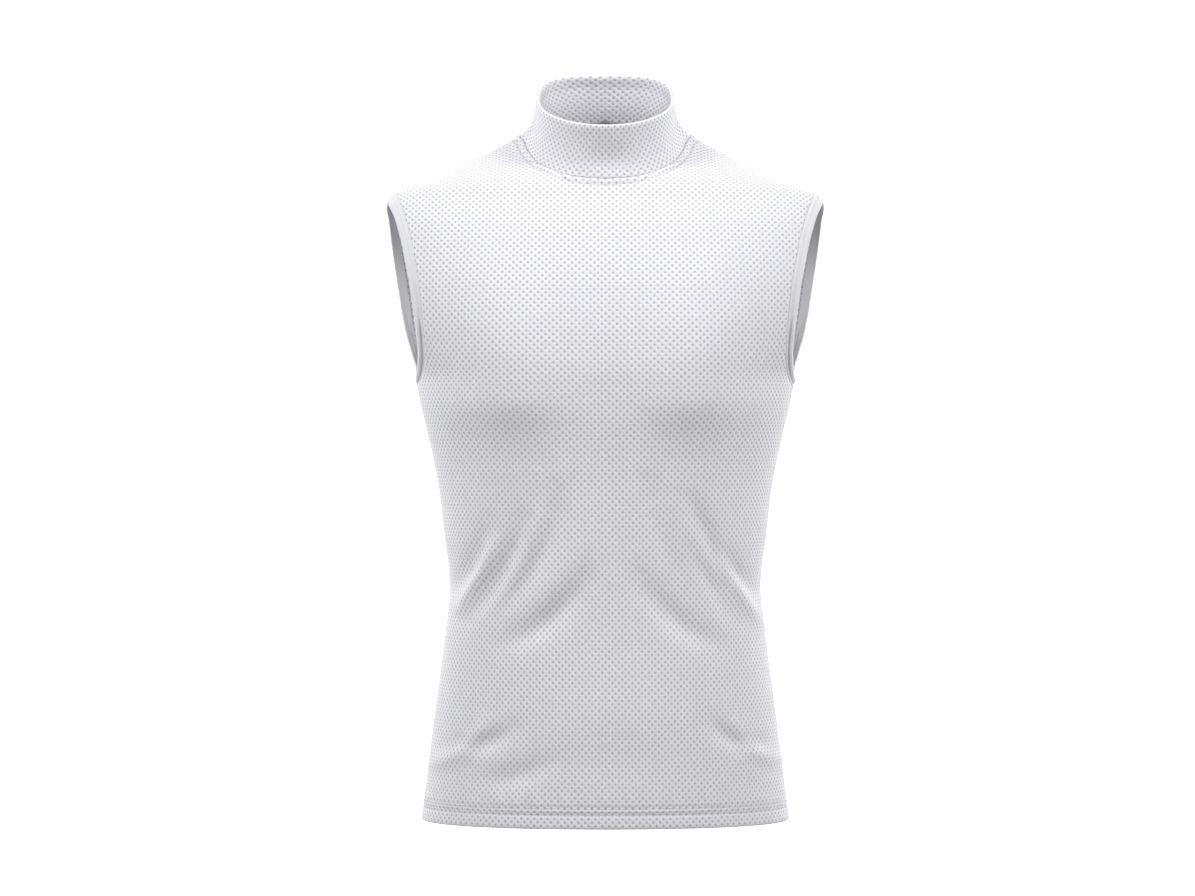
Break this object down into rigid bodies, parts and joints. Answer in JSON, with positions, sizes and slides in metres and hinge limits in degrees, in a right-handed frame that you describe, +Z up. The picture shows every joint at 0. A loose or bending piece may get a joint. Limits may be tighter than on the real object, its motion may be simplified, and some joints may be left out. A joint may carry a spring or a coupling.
{
  "type": "sleeveless shirt",
  "caption": "White sleeveless mock-neck shirt of eyelet knit, shown hollow in its worn shape, with bound armholes and a turned-up hem.",
  "frame": {"origin": "midway between the neck ends of the two shoulder seams, 2 mm below them, where the wearer's shoulders hold the shirt", "axes": "+X to the wearer's left, +Y to the wearer's back, +Z up towards the collar"},
  "size_m": [0.4234, 0.2518, 0.7185],
  "materials": {
    "eyelet_knit": "matte",
    "plain_binding": "matte"
  },
  "bodies": {
    "root": {"front_panel": "eyelet_knit", "back_panel": "eyelet_knit", "collar": "eyelet_knit", "armhole_band_left": "plain_binding", "armhole_band_right": "plain_binding"}
  },
  "joints": []
}
